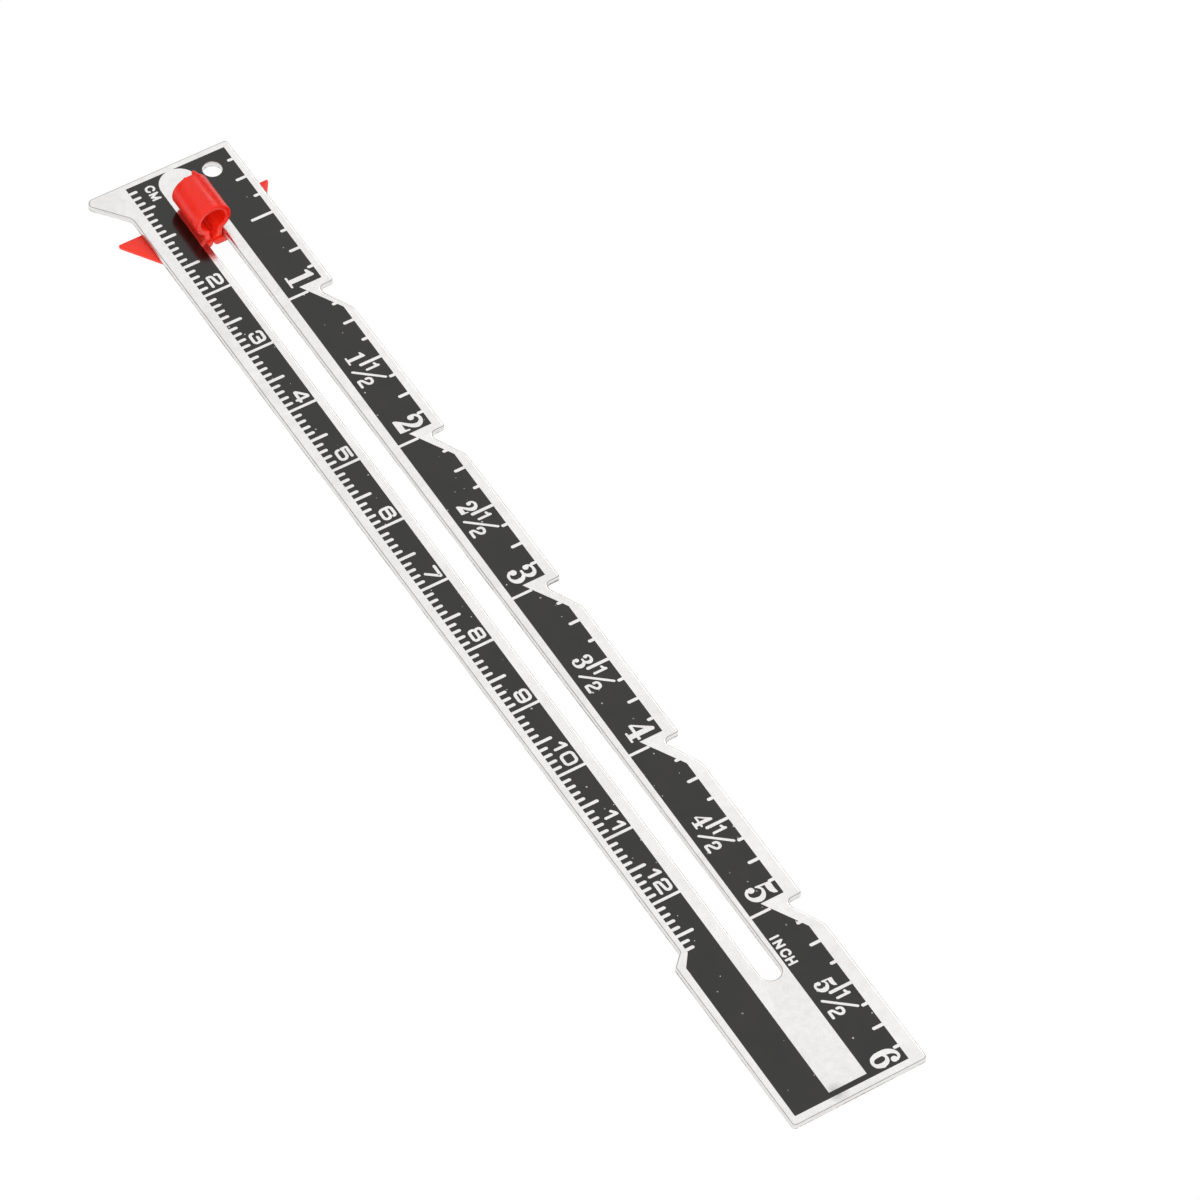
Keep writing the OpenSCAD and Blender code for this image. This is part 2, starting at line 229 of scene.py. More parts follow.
def sheet_between(points, tris, z0, z1):
    """Flat film: the triangles at height z1, their copy turned over at z0, and a wall along every open edge."""
    n = len(points)
    edges = tris[:, [0, 1, 1, 2, 2, 0]].reshape(-1, 2)
    key, back = edges[:, 0] * n + edges[:, 1], edges[:, 1] * n + edges[:, 0]
    rim = edges[~np.isin(key, back)]
    walls = np.stack([rim[:, 0], rim[:, 1], rim[:, 1] + n, rim[:, 0] + n], 1)
    co = np.concatenate([place(points, z0), place(points, z1)])
    return co, facing(tris + n, True) + facing(tris, False) + walls.tolist()


def inset(loop, amount):
    """Loop moved to its left by an amount: each point goes along the bisector of its two sides, by the amount over
    the cosine of half the turn. At a turn of more than 139 degrees it goes no further than at 139."""
    ahead = np.roll(loop, -1, 0) - loop
    ahead /= np.linalg.norm(ahead, axis=1)[:, None]
    behind = np.roll(ahead, 1, 0)
    n1, n0 = np.stack([-ahead[:, 1], ahead[:, 0]], 1), np.stack([-behind[:, 1], behind[:, 0]], 1)
    mid = n0 + n1
    return loop + mid * (amount / np.maximum((mid * n1).sum(1), 0.35))[:, None]


def grid_faces(rows, cols):
    """Quads of a grid of rows x cols points, closed round each row."""
    i, j = np.meshgrid(np.arange(rows - 1), np.arange(cols), indexing="ij")
    k = (j + 1) % cols
    return np.stack([i * cols + j, i * cols + k, (i + 1) * cols + k, (i + 1) * cols + j], -1).reshape(-1, 4).tolist()


def across_slot(section, x):
    """A section (across, height) set square to the slot at x, in the model's frame."""
    return place(np.stack([np.full(len(section), x), section[:, 0] + SLOT_MID], 1), section[:, 1])


def bar(profile, x0, x1, r_back, r_front):
    """Profile (across, height) carried along the slot from x0 to x1, with its end corners rounded: at the angle t the
    ring stands r (1 - sin t) inside the end and is drawn in by r (1 - cos t). An end of radius 0 stays open."""
    profile = turned_left(np.asarray(profile, float))
    t = np.radians([90, 72, 54, 36, 18, 0])
    rings = [(x0 + r_back * (1 - math.sin(a)), r_back * (1 - math.cos(a))) for a in (t if r_back else t[:1])]
    rings += [(x1 - r_front * (1 - math.sin(a)), r_front * (1 - math.cos(a)))
              for a in (t[::-1] if r_front else t[:1])]
    co = [across_slot(inset(profile, draw_in), x) for x, draw_in in rings]
    faces = grid_faces(len(rings), len(profile))
    for x, draw_in, ahead in ((x0, r_back, False), (x1, r_front, True)):
        if draw_in == 0:
            continue
        flat, tris = cover([inset(profile, draw_in)], [])
        faces += facing(tris + sum(len(c) for c in co), ahead)
        co.append(across_slot(flat, x))
    return np.concatenate(co), faces


def wing(side):
    """One wing, a plate carried outwards from the foot: at the reach a its section is a rounded rectangle between its
    back edge, its front edge (straight to the root, then a straight line to the tip), its top and its underside.
    The last rings draw in by r (1 - cos t) while the reach grows by r sin t, which rounds the tip."""
    r, nose = WING_R, np.radians([25, 50, 70, 90])
    # the rings stand closer where the front edge turns
    reach = np.r_[2.0, 2.2, np.linspace(2.6, 6.0, 12), np.linspace(6.2, 7.4, 13), np.linspace(7.7, WING_REACH - r, 18)]
    reach = np.r_[reach, WING_REACH - r + r * np.sin(nose)]
    draw = np.r_[0.05, np.zeros(len(reach) - 5), r * (1 - np.cos(nose))]
    # the front edge turns within `soft` to either side of the root, and bows out a little towards the tip
    past, taper, soft, bow = reach - WING_ROOT, WING_REACH - WING_ROOT, 0.35, 0.12
    bend = np.where(past < -soft, 0, np.where(past > soft, past, (past + soft) ** 2 / (4 * soft)))
    front = WING_FRONT - (WING_FRONT - (WING_BACK + WING_TIP)) / taper * bend + bow * np.clip(past / taper, 0, 1)
    low = np.interp(reach, [FOOT_REACH, THIN_REACH], [0, FOOT_T - WING_T])
    corner = np.radians([0, 22, 45, 67, 90])
    co = []
    for a, x1, z0, d in zip(reach, front, low, draw):
        x0, x1, z0, z1 = WING_BACK + d, x1 - d, z0 + d, FOOT_T - d
        q = min(r, (x1 - x0) / 2.2, (z1 - z0) / 2.2)  # the corners' radius, so small that no two of them touch
        mids = [(x1 - q, z1 - q, 0), (x0 + q, z1 - q, 90), (x0 + q, z0 + q, 180), (x1 - q, z0 + q, 270)]
        ring = np.concatenate([np.stack([x + q * np.cos(corner + math.radians(t)),
                                         z + q * np.sin(corner + math.radians(t))], 1) for x, z, t in mids])
        co.append(place(np.stack([ring[:, 0], np.full(len(ring), SLOT_MID + side * a)], 1), ring[:, 1]))
    n, last = len(co[0]), (len(co) - 1) * len(co[0])
    faces = grid_faces(len(co), n) + [list(range(n))[::-1], list(range(last, last + n))]
    return np.concatenate(co), faces if side < 0 else [f[::-1] for f in faces]


def peg(base, towards, rings):
    """Turned peg: circles of the given (height, radius) pairs along a direction, closed at both ends."""
    n, last = 20, (len(rings) - 1) * 20
    base, axis = np.array(base, float), np.array(towards, float) / np.linalg.norm(towards)
    u = np.cross(axis, (0.31, 0.2, 0.93))
    u /= np.linalg.norm(u)
    v = np.cross(axis, u)
    t = np.linspace(0, 2 * np.pi, n, endpoint=False)[:, None]
    co = [base + axis * h + r * (np.cos(t) * u + np.sin(t) * v) for h, r in rings]
    return np.concatenate(co) * MM, grid_faces(len(rings), n) + [list(range(n))[::-1], list(range(last, last + n))]


def model_point(x, across, z):
    """A point beside the slot's centre line, in the model's frame but still in millimetres."""
    return np.array([across + SLOT_MID - MID_Y, MID_X - x, z])


def mesh_of(name, parts, scale=1):
    """One mesh out of (points, faces) parts."""
    start = np.cumsum([0] + [len(p) for p, _ in parts])
    mesh = bpy.data.meshes.new(name)
    mesh.from_pydata((np.concatenate([p for p, _ in parts]) * scale).tolist(), [],
                     [[i + s for i in f] for s, (_, fs) in zip(start, parts) for f in fs])
    return mesh


def merged(mesh, scale=1):
    """The mesh with the points merged that its parts share, which lie less than 0.0004 mm apart."""
    shell = bmesh.new()
    shell.from_mesh(mesh)
    bmesh.ops.remove_doubles(shell, verts=shell.verts, dist=0.0004 * MM * scale)
    shell.to_mesh(mesh)
    shell.free()
    return mesh


def make(name, finishes, body, stands_for, sharp=32):
    """One piece out of (material, parts) pairs, where a part is (points, faces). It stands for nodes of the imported
    model, and its edges that turn by more than `sharp` degrees stay crisp."""
    mesh = mesh_of(name, [part for _, group in finishes for part in group])
    for material, _ in finishes:
        mesh.materials.append(material)
    counts = [sum(len(fs) for _, fs in group) for _, group in finishes]
    mesh.polygons.foreach_set("material_index", np.repeat(np.arange(len(finishes)), counts).astype(np.int32))
    merged(mesh)
    mesh.shade_smooth()
    mesh.set_sharp_from_angle(angle=math.radians(sharp))
    piece = bpy.data.objects.new(name, mesh)
    bpy.context.scene.collection.objects.link(piece)
    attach(piece, body)
    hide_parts(*stands_for)


# ---------------------------------------------------------------- finishes

def linear(hex_colour):
    """sRGB hex to linear: c / 12.92 below 0.04045, and ((c + 0.055) / 1.055) ^ 2.4 above it."""
    c = [int(hex_colour[i:i + 2], 16) / 255 for i in (1, 3, 5)]
    return tuple(v / 12.92 if v <= 0.04045 else ((v + 0.055) / 1.055) ** 2.4 for v in c) + (1.0,)


def add(tree, kind, inputs=None, stops=(), **settings):
    """Adds a node: settings are its own properties, inputs its sockets by name or number, as values, as links or as
    nodes, whose first output is linked, and stops the (position, grey or sRGB hex) pairs of its colour ramp."""
    node = tree.nodes.new(kind)
    for at, (position, colour) in enumerate(stops):
        steps = node.color_ramp.elements
        step = steps[at] if at < 1 or at == len(stops) - 1 else steps.new(position)
        step.position, step.color = position, linear(colour) if isinstance(colour, str) else (colour, colour, colour, 1)
    for key, value in settings.items():
        setattr(node, key, value)
    for key, value in (inputs or {}).items():
        if isinstance(value, bpy.types.Node):
            value = value.outputs[0]
        if isinstance(value, bpy.types.NodeSocket):
            tree.links.new(value, node.inputs[key])
        else:
            node.inputs[key].default_value = value
    return node


def finish_named(name):
    """An empty material and its node tree."""
    material = bpy.data.materials.new(name)
    material.use_nodes = True
    material.node_tree.nodes.clear()
    return material, material.node_tree


def rolled_aluminium():
    """Bright cold-rolled aluminium sheet, stamped: a pale mirror, dulled in small cloudy patches by the rolls
    and by handling, with a fine grain along the blade that blurs what it mirrors."""
    material, tree = finish_named("rolled_aluminium_sheet")
    at = add(tree, "ShaderNodeTexCoord").outputs["Object"]
    # grain: 0.12 mm wide streaks, some 5 mm long, coarser than the real rolling lines so that they show
    along = add(tree, "ShaderNodeMapping", {"Vector": at, "Scale": (1 / (0.12 * MM), 1 / (5 * MM), 1 / (0.5 * MM))})
    grain = add(tree, "ShaderNodeTexNoise", {"Vector": along, "Scale": 1.0, "Detail": 3.0, "Roughness": 0.6})
    # clouds: dull patches of 0.5 to 1 mm in the oxide, and smudges some 4 mm across
    cloud = add(tree, "ShaderNodeTexNoise", {"Vector": at, "Scale": 1 / (0.9 * MM), "Detail": 4.0, "Roughness": 0.6})
    smudge = add(tree, "ShaderNodeTexNoise", {"Vector": at, "Scale": 1 / (4 * MM), "Detail": 4.0, "Roughness": 0.6})
    # sheet unevenness: slow waves 12 mm across that bend the mirrored surroundings
    wave = add(tree, "ShaderNodeTexNoise", {"Vector": at, "Scale": 1 / (12 * MM), "Detail": 1.0})
    patch = add(tree, "ShaderNodeValToRGB", {0: cloud}, stops=[(0.36, "#EDECEB"), (0.5, "#F1F0EF"), (0.64, "#F4F4F4")])
    film = add(tree, "ShaderNodeValToRGB", {0: smudge}, stops=[(0.3, "#FFFFFF"), (0.7, "#F5F4F3")])
    tone = add(tree, "ShaderNodeMix", {0: 1.0, 6: patch, 7: film}, data_type="RGBA", blend_type="MULTIPLY")
    # scuff: one rubbed spot of 2 mm by the wide end, broken up by the clouds
    near = add(tree, "ShaderNodeVectorMath", {0: at, 1: (-0.00214, -0.07473, 0.00195)}, operation="DISTANCE")
    fade = add(tree, "ShaderNodeMapRange", {0: near.outputs["Value"], 1: 0.2 * MM, 2: 1.5 * MM, 3: 0.95, 4: 0.0})
    rubbed = add(tree, "ShaderNodeMath", {0: cloud, 1: fade}, operation="MULTIPLY")
    tone = add(tree, "ShaderNodeMix", {0: rubbed, 6: tone.outputs[2], 7: linear("#77757A")}, data_type="RGBA")
    rough = add(tree, "ShaderNodeValToRGB", {0: cloud}, stops=[(0.35, 0.21), (0.65, 0.17)])
    slow = add(tree, "ShaderNodeBump", {"Height": wave, "Distance": 0.03 * MM, "Strength": 0.5})
    fine = add(tree, "ShaderNodeBump", {"Height": grain, "Distance": 0.002 * MM, "Strength": 0.6, "Normal": slow})
    shader = add(tree, "ShaderNodeBsdfPrincipled", {"Base Color": tone.outputs[2], "Metallic": 1.0,
                                                    "Roughness": rough, "Normal": fine})
    add(tree, "ShaderNodeOutputMaterial", {"Surface": shader})
    return material


def sheared_edge():
    """Edge of the same sheet where the die sheared it: smoother and greyer close under the face, which the punch
    burnished, then torn and pale, because the break scatters the light, and grey again at the bottom: partly the burr,
    partly painted shadow along the table. Upright drag lines cross the borders between the three."""
    material, tree = finish_named("sheared_aluminium_edge")
    at = add(tree, "ShaderNodeTexCoord").outputs["Object"]
    # drag lines: 0.3 mm apart along the edge, and taller than the wall
    upright = add(tree, "ShaderNodeMapping", {"Vector": at, "Scale": (1 / (0.3 * MM), 1 / (0.3 * MM), 1 / (3 * MM))})
    drag = add(tree, "ShaderNodeTexNoise", {"Vector": upright, "Scale": 1.0, "Detail": 4.0, "Roughness": 0.7})
    height = add(tree, "ShaderNodeSeparateXYZ", {0: at}).outputs[2]
    up = add(tree, "ShaderNodeMapRange", {0: height, 1: UNDER_Z * MM, 2: TOP_Z * MM})
    # and the torn zone climbs higher for 5 mm here and there
    climb = add(tree, "ShaderNodeTexNoise", {"Vector": at, "Scale": 1 / (5 * MM), "Detail": 1.0})
    lower = add(tree, "ShaderNodeMath", {0: climb, 1: -0.9, 2: up}, operation="MULTIPLY_ADD")
    zone = add(tree, "ShaderNodeMath", {0: drag, 1: 0.8, 2: lower}, operation="MULTIPLY_ADD")
    # painted shade: the darkest stop, at the wall's bottom, is partly the burr and partly painted shadow along the
    # table
    tone = add(tree, "ShaderNodeValToRGB", {0: zone},
               stops=[(0.0, "#A2A19F"), (0.12, "#DDDCDB"), (0.3, "#F0EFEE"), (0.55, "#E6E5E4"), (1.0, "#C6C5C4")])
    rough = add(tree, "ShaderNodeValToRGB", {0: zone}, stops=[(0.05, 0.55), (0.4, 0.4)])
    bump = add(tree, "ShaderNodeBump", {"Height": drag, "Distance": 0.02 * MM, "Strength": 0.6})
    shader = add(tree, "ShaderNodeBsdfPrincipled", {"Base Color": tone, "Metallic": 1.0,
                                                    "Roughness": rough, "Normal": bump})
    add(tree, "ShaderNodeOutputMaterial", {"Surface": shader})
    return material


def screen_ink():
    """Screen-printed black ink, baked on: a near-black film with a wet gloss and a faint pebble of the mesh,
    and here and there a pinhole of 0.1 to 0.2 mm that lets the metal through."""
    material, tree = finish_named("screen_printed_ink")
    at = add(tree, "ShaderNodeTexCoord").outputs["Object"]
    cloud = add(tree, "ShaderNodeTexNoise", {"Vector": at, "Scale": 1 / (3 * MM), "Detail": 5.0, "Roughness": 0.6})
    pebble = add(tree, "ShaderNodeTexNoise", {"Vector": at, "Scale": 1 / (0.25 * MM), "Detail": 2.0})
    # pinholes: a cell every 1.8 mm, of which one in four holds a dot of its own size and tone
    cell = add(tree, "ShaderNodeTexVoronoi", {"Vector": at, "Scale": 1 / (1.8 * MM)}, voronoi_dimensions="2D")
    own = add(tree, "ShaderNodeSeparateColor", {0: cell.outputs["Color"]})
    size = add(tree, "ShaderNodeMath", {0: own, 1: 0.045, 2: 0.025}, operation="MULTIPLY_ADD")
    seen = add(tree, "ShaderNodeMath", {0: own.outputs[1], 1: 0.25}, operation="LESS_THAN")
    dot = add(tree, "ShaderNodeMath", {0: cell.outputs["Distance"], 1: size}, operation="LESS_THAN")
    hole = add(tree, "ShaderNodeMath", {0: dot, 1: seen}, operation="MULTIPLY")
    tone = add(tree, "ShaderNodeValToRGB", {0: cloud}, stops=[(0.3, "#060503"), (0.7, "#120E0A")])
    pale = add(tree, "ShaderNodeValToRGB", {0: own.outputs[2]}, stops=[(0.0, "#5A5856"), (1.0, "#C9C8C6")])
    colour = add(tree, "ShaderNodeMix", {0: hole, 6: tone, 7: pale}, data_type="RGBA")
    rough = add(tree, "ShaderNodeValToRGB", {0: cloud}, stops=[(0.3, 0.11), (0.7, 0.17)])
    bump = add(tree, "ShaderNodeBump", {"Height": pebble, "Distance": 0.003 * MM, "Strength": 0.5})
    shader = add(tree, "ShaderNodeBsdfPrincipled", {"Base Color": colour.outputs[2], "Roughness": rough,
                                                    "IOR": 1.555, "Normal": bump})
    add(tree, "ShaderNodeOutputMaterial", {"Surface": shader})
    return material


def moulded_red():
    """Injection-moulded polystyrene, pigmented red: glossy, light goes a little way in and glows in the thin tube,
    and slow flow marks of 1 to 2 mm make the gloss waver. It is painted paler below 2 mm than above 3.5 mm:
    painted light on the low wings and feet, painted shade on the tube's top."""
    material, tree = finish_named("moulded_red_plastic")
    at = add(tree, "ShaderNodeTexCoord").outputs["Object"]
    flow = add(tree, "ShaderNodeTexNoise", {"Vector": at, "Scale": 1 / (1.8 * MM), "Detail": 3.0, "Distortion": 0.6})
    skin = add(tree, "ShaderNodeTexNoise", {"Vector": at, "Scale": 1 / (0.35 * MM), "Detail": 2.0})
    painted_shaded_red = add(tree, "ShaderNodeValToRGB", {0: flow}, stops=[(0.3, "#EA1E0C"), (0.7, "#F02612")])
    painted_lit_red = add(tree, "ShaderNodeValToRGB", {0: flow}, stops=[(0.3, "#FC2E1A"), (0.7, "#FF3822")])
    # the wings are thin and lie on the pale table; painted light and shade: paler below 2 mm than above 3.5 mm, which
    # brightens the wings and darkens the tube's top
    height = add(tree, "ShaderNodeSeparateXYZ", {0: at}).outputs[2]
    painted_light_by_height = add(tree, "ShaderNodeMapRange", {0: height, 1: 2 * MM, 2: 3.5 * MM})
    # painted light and shade: the paler and the darker copy of the same red, mixed by height
    tone = add(tree, "ShaderNodeMix", {0: painted_light_by_height, 6: painted_lit_red, 7: painted_shaded_red}, data_type="RGBA")
    rough = add(tree, "ShaderNodeValToRGB", {0: flow}, stops=[(0.3, 0.24), (0.7, 0.36)])
    slow = add(tree, "ShaderNodeBump", {"Height": flow, "Distance": 0.03 * MM, "Strength": 0.5})
    fine = add(tree, "ShaderNodeBump", {"Height": skin, "Distance": 0.004 * MM, "Strength": 0.5, "Normal": slow})
    shader = add(tree, "ShaderNodeBsdfPrincipled", {"Base Color": tone.outputs[2], "Roughness": rough,
                                                    "IOR": 1.46, "Subsurface Weight": 0.5,
                                                    "Subsurface Radius": (1.0, 0.1, 0.07),
                                                    "Subsurface Scale": 0.8 * MM, "Normal": fine})
    add(tree, "ShaderNodeOutputMaterial", {"Surface": shader})
    return material


# ---------------------------------------------------------------- the blade

def blade_outline():
    """Back edge with the hook at its left corner, the step at the wide front end, and five notches on the inch edge.
    The hook's slanted side starts at its root and touches the circle of its tip, so it leans from the long edge by
    the angle to the circle's middle plus asin(radius / distance). It meets the back edge's line at the tip's corner."""
    out, along = HOOK_REACH - HOOK_TIP_R, HOOK_ROOT - BLADE_BACK - HOOK_TIP_R
    lean = math.atan2(out, along) + math.asin(HOOK_TIP_R / math.hypot(along, out))
    tip_corner = (HOOK_ROOT - BLADE_BACK) * math.tan(lean)
    notches = []
    for x in (i * INCH for i in range(NOTCHES, 0, -1)):
        notches += [(x + NOTCH_RUN, BLADE_W, NOTCH_TOP_R), (x, BLADE_W - NOTCH_DEPTH, NOTCH_ROOT_R),
                    (x, BLADE_W, TOOTH_R)]
    return rounded([(BLADE_BACK, BLADE_W, CORNER_R), (BLADE_BACK, -tip_corner, HOOK_TIP_R),
                    (HOOK_ROOT, 0, HOOK_ROOT_R), (STEP_AT, 0, CORNER_R), (STEP_AT + STEP_LEN, -STEP_OUT, CORNER_R),
                    (BLADE_FRONT, -STEP_OUT, CORNER_R), (BLADE_FRONT, BLADE_W, CORNER_R)] + notches)


def slot_outline():
    """Straight slot with half circles at both ends."""
    r = SLOT_W / 2
    return np.concatenate([arc(SLOT_START + r, SLOT_MID, r, 90, 270, 24), arc(SLOT_END - r, SLOT_MID, r, -90, 90, 24)])


def blade():
    """Stamped sheet: every outline is a stack of rings from the underside to the face. The punch rounds the face's
    edge, so ring t stands r (1 - sin t) inside the outline and r (1 - cos t) below the face; the underside's edge is
    almost sharp. Returns the parts of the rolled sheet and those of the sheared walls."""
    hole = arc(HOLE_AT, HOLE_MID, HOLE_R, 0, 360, 48)[:-1]
    edges = ((turned_left(blade_outline()), OUTLINE_ROLL), (turned_left(slot_outline(), False), SLOT_ROLL),
             (turned_left(hole, False), HOLE_ROLL))
    parts, walls = [], []
    tops, feet = [], []
    for loop, r in edges:
        t = np.radians([*range(90, 0, -10), 2, 0])  # the ring at 2 degrees keeps the flat face's shading flat
        roll = [(r * (1 - math.sin(a)), TOP_Z - r * (1 - math.cos(a))) for a in t]
        wall = [(UNDER_ROLL, UNDER_Z), (0.3 * UNDER_ROLL, UNDER_Z + 0.3 * UNDER_ROLL), (0.0, UNDER_Z + UNDER_ROLL),
                roll[0]]
        for rings, into in ((wall, walls), (roll, parts)):
            co = np.concatenate([place(inset(loop, d), z) for d, z in rings])
            into.append((co, grid_faces(len(rings), len(loop))))
        tops.append(inset(loop, r))
        feet.append(inset(loop, UNDER_ROLL))
    for loops, z, up in ((tops, TOP_Z, True), (feet, UNDER_Z, False)):
        co, tris = cover(loops[:1], loops[1:])
        parts.append((place(co, z), facing(tris, up)))
    return parts, walls


# ---------------------------------------------------------------- the print

def tick(at, length, edge=0.0, inwards=1):
    """Bare line from a panel's edge inwards, with a round inner end."""
    r = LINE_W / 2 + SHRINK
    end = arc(0, 0, r, 0, 180, 12) + (0, length - r)
    shape = np.concatenate([[(-r, -OVER), (r, -OVER)], end])
    return shape * (1, inwards) + (at, edge)


PLAIN = {   # the centimetre numerals, 1.85 wide and 1.8 high, as strokes through (x, y, corner radius)
    "0": [[(0.9, 1.62), (1.67, 1.62, 0.42), (1.67, 0.18, 0.42), (0.18, 0.18, 0.42), (0.18, 1.62, 0.42), (0.9, 1.62)]],
    "1": [[(0.72, 0.18), (0.72, 1.6)], [(0.72, 1.6), (0.5, 1.5, 0.2), (0.14, 1.17)]],
    "2": [[(0.18, 1.22), (0.18, 1.62, 0.32), (1.64, 1.62, 0.38), (1.62, 0.98, 0.3), (0.18, 0.74, 0.3),
           (0.18, 0.2, 0.04), (1.69, 0.2)]],
    "3": [[(0.18, 1.25), (0.18, 1.62, 0.3), (1.6, 1.62, 0.34), (1.6, 0.92, 0.12), (0.88, 0.92)],
          [(1.4, 0.92), (1.62, 0.92, 0.15), (1.7, 0.18, 0.34), (0.18, 0.18, 0.34), (0.18, 0.6)]],
    "4": [[(1.44, 0.18), (1.44, 1.62)], [(1.44, 1.62), (1.25, 1.62, 0.1), (0.16, 0.5, 0.08), (1.78, 0.5)]],
    "5": [[(1.62, 1.63), (0.18, 1.63, 0.05), (0.18, 1.02)],
          [(0.18, 1.0), (0.5, 1.1, 0.2), (1.67, 1.1, 0.45), (1.67, 0.18, 0.42), (0.18, 0.18, 0.36), (0.18, 0.6)]],
    "6": [[(1.58, 1.36), (1.58, 1.62, 0.24), (0.18, 1.62, 0.4), (0.18, 0.18, 0.4), (1.67, 0.18, 0.4),
           (1.67, 1.0, 0.36), (0.2, 1.0)]],
    "7": [[(0.16, 1.62), (1.74, 1.62, 0.04), (0.66, 0.18)]],
    "8": [[(0.9, 1.62), (1.58, 1.62, 0.28), (1.58, 0.92, 0.3), (0.26, 0.92, 0.3), (0.26, 1.62, 0.28), (0.9, 1.62)],
          [(0.9, 0.92), (1.67, 0.92, 0.34), (1.67, 0.18, 0.34), (0.18, 0.18, 0.34), (0.18, 0.92, 0.34), (0.9, 0.92)]],
    "9": [[(1.66, 0.9), (1.66, 1.62, 0.4), (0.18, 1.62, 0.4), (0.18, 0.82, 0.36), (1.66, 0.82)],
          [(1.66, 1.2), (1.66, 0.18, 0.4), (0.18, 0.18, 0.36), (0.18, 0.54)]],
}

FAT = {     # the inch numerals, 3.45 high: ("brush", rows of x, y, width), ("disc", x, y, r) or ("flat", corners)
    "1": [("flat", [(0.55, 0.1), (1.25, 0.1), (1.25, 3.3), (1.12, 3.45), (0.95, 3.42), (0.05, 3.02), (0.0, 2.78),
                    (0.12, 2.68), (0.55, 2.68)]),
          ("brush", [(0.14, 0.16, 0.3), (0.9, 0.16, 0.3), (1.66, 0.16, 0.3)]),
          ("flat", [(0.4, 0.1), (0.62, 0.4), (1.2, 0.4), (1.4, 0.1)])],
    "2": [("disc", 0.5, 2.28, 0.4),
          ("brush", [(0.27, 2.5, 0.34), (0.42, 2.95, 0.38), (0.82, 3.22, 0.42), (1.28, 3.2, 0.46), (1.66, 2.9, 0.6),
                     (1.8, 2.42, 0.68), (1.6, 1.88, 0.6), (1.15, 1.36, 0.48), (0.66, 0.86, 0.4), (0.28, 0.38, 0.38)]),
          ("flat", [(0.06, 0.02), (1.98, 0.02), (2.04, 0.1), (2.1, 1.32), (2.0, 1.42), (1.86, 1.36), (1.76, 0.86),
                    (0.62, 0.86), (0.02, 0.3)])],
    "3": [("disc", 0.45, 2.58, 0.36), ("disc", 0.42, 0.94, 0.42),
          ("brush", [(0.24, 2.8, 0.3), (0.5, 3.18, 0.34), (0.95, 3.3, 0.36), (1.45, 3.18, 0.46), (1.7, 2.76, 0.62),
                     (1.56, 2.24, 0.52), (1.15, 1.92, 0.36), (0.66, 1.88, 0.34)]),
          ("brush", [(0.7, 1.88, 0.34), (1.2, 1.86, 0.36), (1.62, 1.52, 0.56), (1.78, 1.0, 0.68), (1.58, 0.48, 0.56),
                     (1.1, 0.18, 0.36), (0.58, 0.22, 0.36), (0.22, 0.6, 0.4)])],
    "4": [("flat", [(0.0, 0.92), (0.0, 1.3), (1.42, 3.42), (1.6, 3.47), (1.84, 3.3), (1.12, 2.3), (0.36, 1.32),
                    (0.36, 0.92)]),
          ("flat", [(1.12, 0.1), (1.84, 0.1), (1.84, 3.3), (1.6, 3.47), (1.3, 3.2), (1.12, 2.9)]),
          ("flat", [(0.02, 0.92), (2.22, 0.92), (2.28, 1.0), (2.28, 1.24), (2.22, 1.32), (0.02, 1.32)]),
          ("brush", [(0.86, 0.18, 0.3), (1.5, 0.18, 0.3), (2.12, 0.18, 0.3)])],
    "5": [("brush", [(0.3, 1.66, 0.28), (0.37, 2.4, 0.28), (0.42, 3.34, 0.24)]),
          ("flat", [(0.44, 3.46), (1.3, 3.42), (1.98, 3.5), (2.06, 3.42), (1.92, 3.02), (1.56, 2.72), (1.1, 2.62),
                    (0.62, 2.64), (0.4, 2.7)]),
          ("disc", 0.42, 0.92, 0.41),
          ("brush", [(0.42, 1.84, 0.26), (0.8, 2.12, 0.3), (1.3, 2.04, 0.44), (1.76, 1.62, 0.66), (1.84, 1.08, 0.72),
                     (1.6, 0.52, 0.56), (1.1, 0.2, 0.4), (0.6, 0.22, 0.38), (0.24, 0.58, 0.4)])],
    "6": [("disc", 1.76, 2.62, 0.4),
          ("brush", [(1.98, 2.9, 0.28), (1.66, 3.26, 0.34), (1.2, 3.26, 0.42), (0.8, 2.94, 0.58), (0.53, 2.36, 0.74),
                     (0.43, 1.7, 0.7), (0.44, 1.1, 0.66)]),
          ("brush", [(0.42, 1.1, 0.66), (0.63, 0.48, 0.53), (1.14, 0.22, 0.4), (1.65, 0.48, 0.56), (1.86, 1.1, 0.7)]),
          ("brush", [(1.86, 1.1, 0.7), (1.65, 1.72, 0.56), (1.14, 1.98, 0.38), (0.63, 1.72, 0.4), (0.42, 1.1, 0.5)])],
}

SMALL = {   # the fraction, as strokes, from the half-inch tick and the panel's inner edge
    "slash": [[(0.5, 0.9), (2.95, 3.94)]],
    "1": [[(0.55, 3.78), (0.82, 3.88, 0.1), (0.98, 4.1)], [(0.98, 2.6), (0.98, 4.1)]],
    "2": [[(2.1, 1.78), (2.1, 2.3, 0.36), (2.95, 2.3, 0.36), (2.95, 1.7, 0.4), (2.08, 1.18, 0.2), (2.08, 0.76, 0.04),
           (2.98, 0.76)]],
}

# where each inch figure stands (left side, base), and how wide it is
INCH_FIGURES = {"1": (22.3, 9.5), "2": (47.25, 9.5), "3": (72.65, 9.47), "4": (98.0, 9.5), "5": (123.5, 9.48),
                "6": (148.7, 9.47)}
INCH_FIGURE_W = {"1": 1.8, "2": 2.1, "3": 2.1, "4": 2.28, "5": 2.2}

